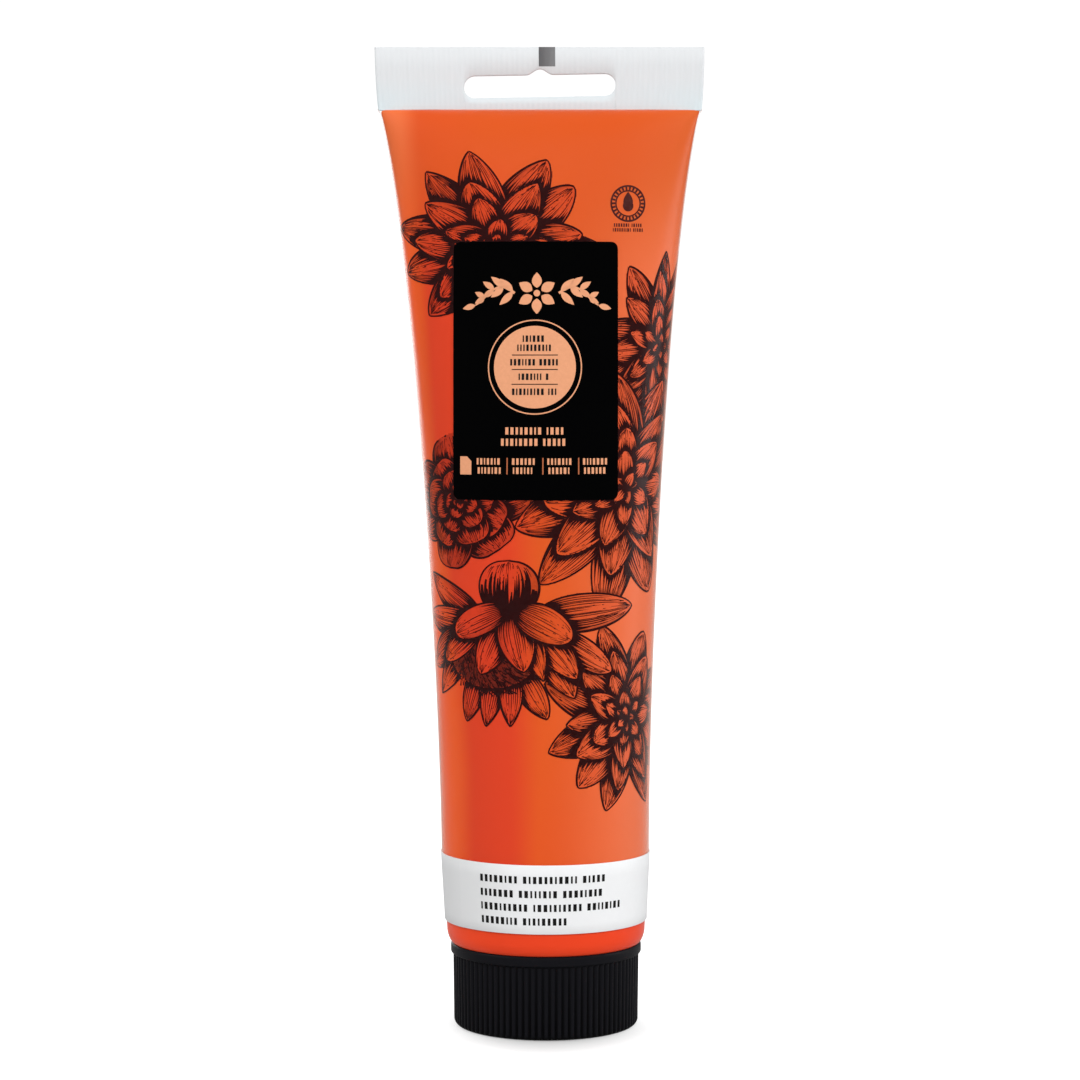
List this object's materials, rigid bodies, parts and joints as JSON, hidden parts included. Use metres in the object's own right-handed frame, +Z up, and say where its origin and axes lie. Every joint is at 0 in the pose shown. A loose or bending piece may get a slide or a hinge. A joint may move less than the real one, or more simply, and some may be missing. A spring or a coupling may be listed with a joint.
{
  "type": "squeeze tube of block printing ink",
  "caption": "Stand-up squeeze tube of block printing ink: clear sleeve crimped flat with a hang slot, printed floral front, threaded neck and a black ribbed screw cap it stands on.",
  "frame": {"origin": "centre of the cap's flat bottom face, on the surface that the tube stands on", "axes": "+Z up along the cap's and neck's axis, X along the flat crimp, the printed front faces -Y"},
  "size_m": [0.0629, 0.0404, 0.1875],
  "materials": {
    "black_cap": "satin moulded black",
    "liner_foam": "white closed-cell foam",
    "seal_foil": "embossed foil",
    "natural_plastic": "milky natural polyethylene",
    "orange_ink": "wet opaque ink",
    "clear_sleeve": "soft translucent film, printed in black",
    "white_label": "smooth white film"
  },
  "bodies": {
    "cap": {"screw_cap": "black_cap"},
    "liner": {"cap_liner": "liner_foam"},
    "tube": {"tube_sleeve": "clear_sleeve", "shoulder_head": "natural_plastic", "foil_seal": "seal_foil", "ink_fill": "orange_ink", "colour_label": "white_label"}
  },
  "joints": [
    {"name": "unscrew", "type": "hinge", "parent": "cap", "child": "liner", "pos_m": [0, 0, 0], "axis": [0, 0, 1], "range_deg": [0, 1440]},
    {"name": "lift", "type": "slide", "parent": "liner", "child": "tube", "axis": [0, 0, 1], "range_m": [0, 0.0145]}
  ],
  "couplings": [
    {"joint": "lift", "follows": "unscrew", "m_per_rad": 0.00057296}
  ]
}
